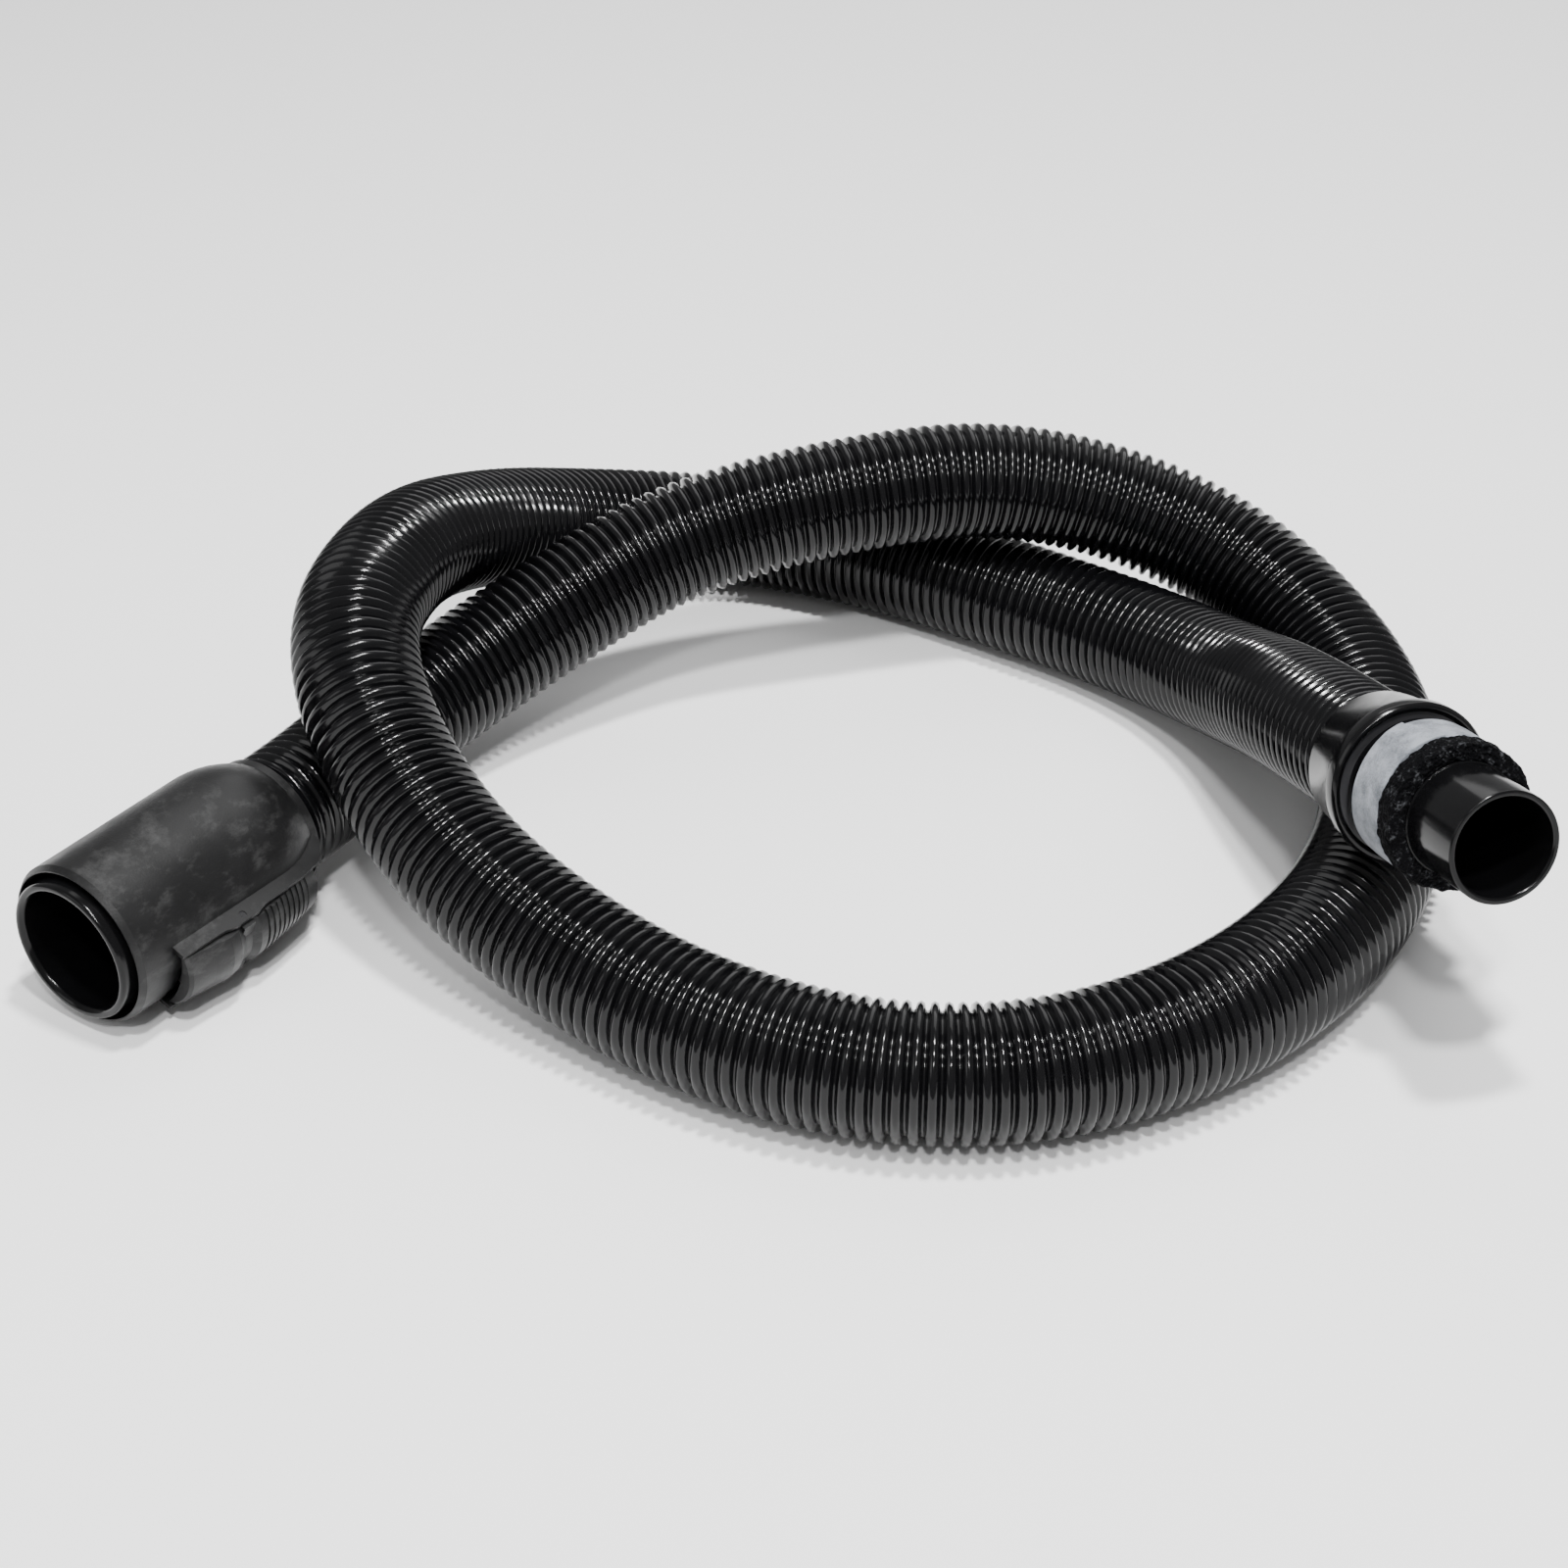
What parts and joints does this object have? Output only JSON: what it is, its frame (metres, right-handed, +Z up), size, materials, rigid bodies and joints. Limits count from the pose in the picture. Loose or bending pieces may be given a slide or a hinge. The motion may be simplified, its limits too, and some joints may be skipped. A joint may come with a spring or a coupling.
{
  "type": "vacuum hose",
  "caption": "Black corrugated vacuum hose lying in two loose loops, with a latching machine connector and a slim swivel spigot with a felt band and foam gasket.",
  "frame": {"origin": "bottom centre of the box round the two end fittings, on the floor", "axes": "+X from the machine connector towards the tool fitting, +Y towards the far side of the coil, +Z up"},
  "size_m": [0.4679, 0.3837, 0.1056],
  "materials": {
    "hose_plastic": "glossy black soft plastic, corrugated",
    "satin_plastic": "satin black moulded plastic, slightly scuffed",
    "gloss_plastic": "glossy black moulded plastic",
    "cuff_plastic": "plain black moulded plastic",
    "ring_plastic": "dark grey acetal",
    "seal_rubber": "black rubber",
    "spring_steel": "bright steel wire",
    "pin_steel": "blackened steel",
    "felt": "light grey woven-backed felt",
    "foam": "black open-cell foam, speckled"
  },
  "bodies": {
    "hose_line": {"hose": "hose_plastic", "hose_cuff": "cuff_plastic", "swivel_seal": "seal_rubber", "tool_collar": "gloss_plastic", "spigot_retaining_ring": "ring_plastic"},
    "connector": {"connector_sleeve": "satin_plastic", "mouth_tube": "gloss_plastic", "mouth_seal": "seal_rubber", "cuff_retaining_ring": "ring_plastic", "latch_pin": "pin_steel", "latch_spring": "spring_steel"},
    "latch": {"latch_lever": "satin_plastic"},
    "spigot": {"spigot_tube": "gloss_plastic", "spigot_seal": "seal_rubber", "felt_band": "felt", "foam_gasket": "foam"}
  },
  "joints": [
    {"name": "connector_swivel", "type": "hinge", "parent": "hose_line", "child": "connector", "pos_m": [-0.18148, 0.01964, 0.0283], "axis": [0.5707, 0.8211, 0], "continuous": true},
    {"name": "latch_press", "type": "hinge", "parent": "connector", "child": "latch", "pos_m": [-0.16545, -0.00368, 0.0176], "axis": [0.3076, -0.2138, 0.9272], "range_deg": [0, 5], "stiffness_Nm_per_rad": 0.8, "springref_deg": -5.16, "deforming": ["latch_spring"]},
    {"name": "spigot_swivel", "type": "hinge", "parent": "hose_line", "child": "spigot", "pos_m": [0.19949, 0.00275, 0.07385], "axis": [0.253, -0.9376, 0.2385], "continuous": true}
  ]
}
